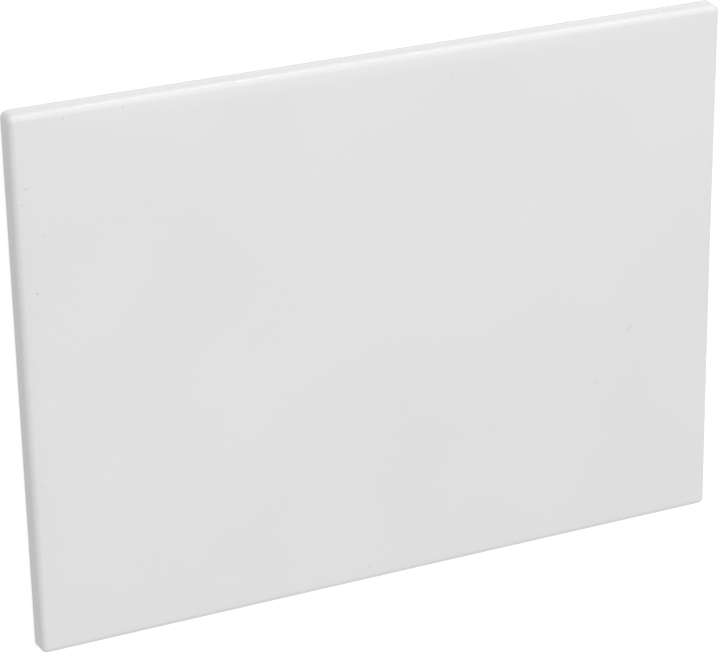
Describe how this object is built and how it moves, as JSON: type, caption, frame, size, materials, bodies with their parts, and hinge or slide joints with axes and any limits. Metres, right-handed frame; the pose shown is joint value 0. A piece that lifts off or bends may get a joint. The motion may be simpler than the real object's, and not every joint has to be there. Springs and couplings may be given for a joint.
{
  "type": "bath end panel",
  "caption": "Shallow tray of white gloss acrylic with rolled edges and an open back, made to close the end of a bath.",
  "frame": {"origin": "middle of the plane of the cut rim, on which the panel lies", "axes": "+X along the panel's width, +Y up its height as it is fitted, +Z out of its face"},
  "size_m": [0.7, 0.52, 0.019],
  "materials": {
    "acrylic": "gloss"
  },
  "bodies": {
    "root": {"bath_panel": "acrylic"}
  },
  "joints": []
}
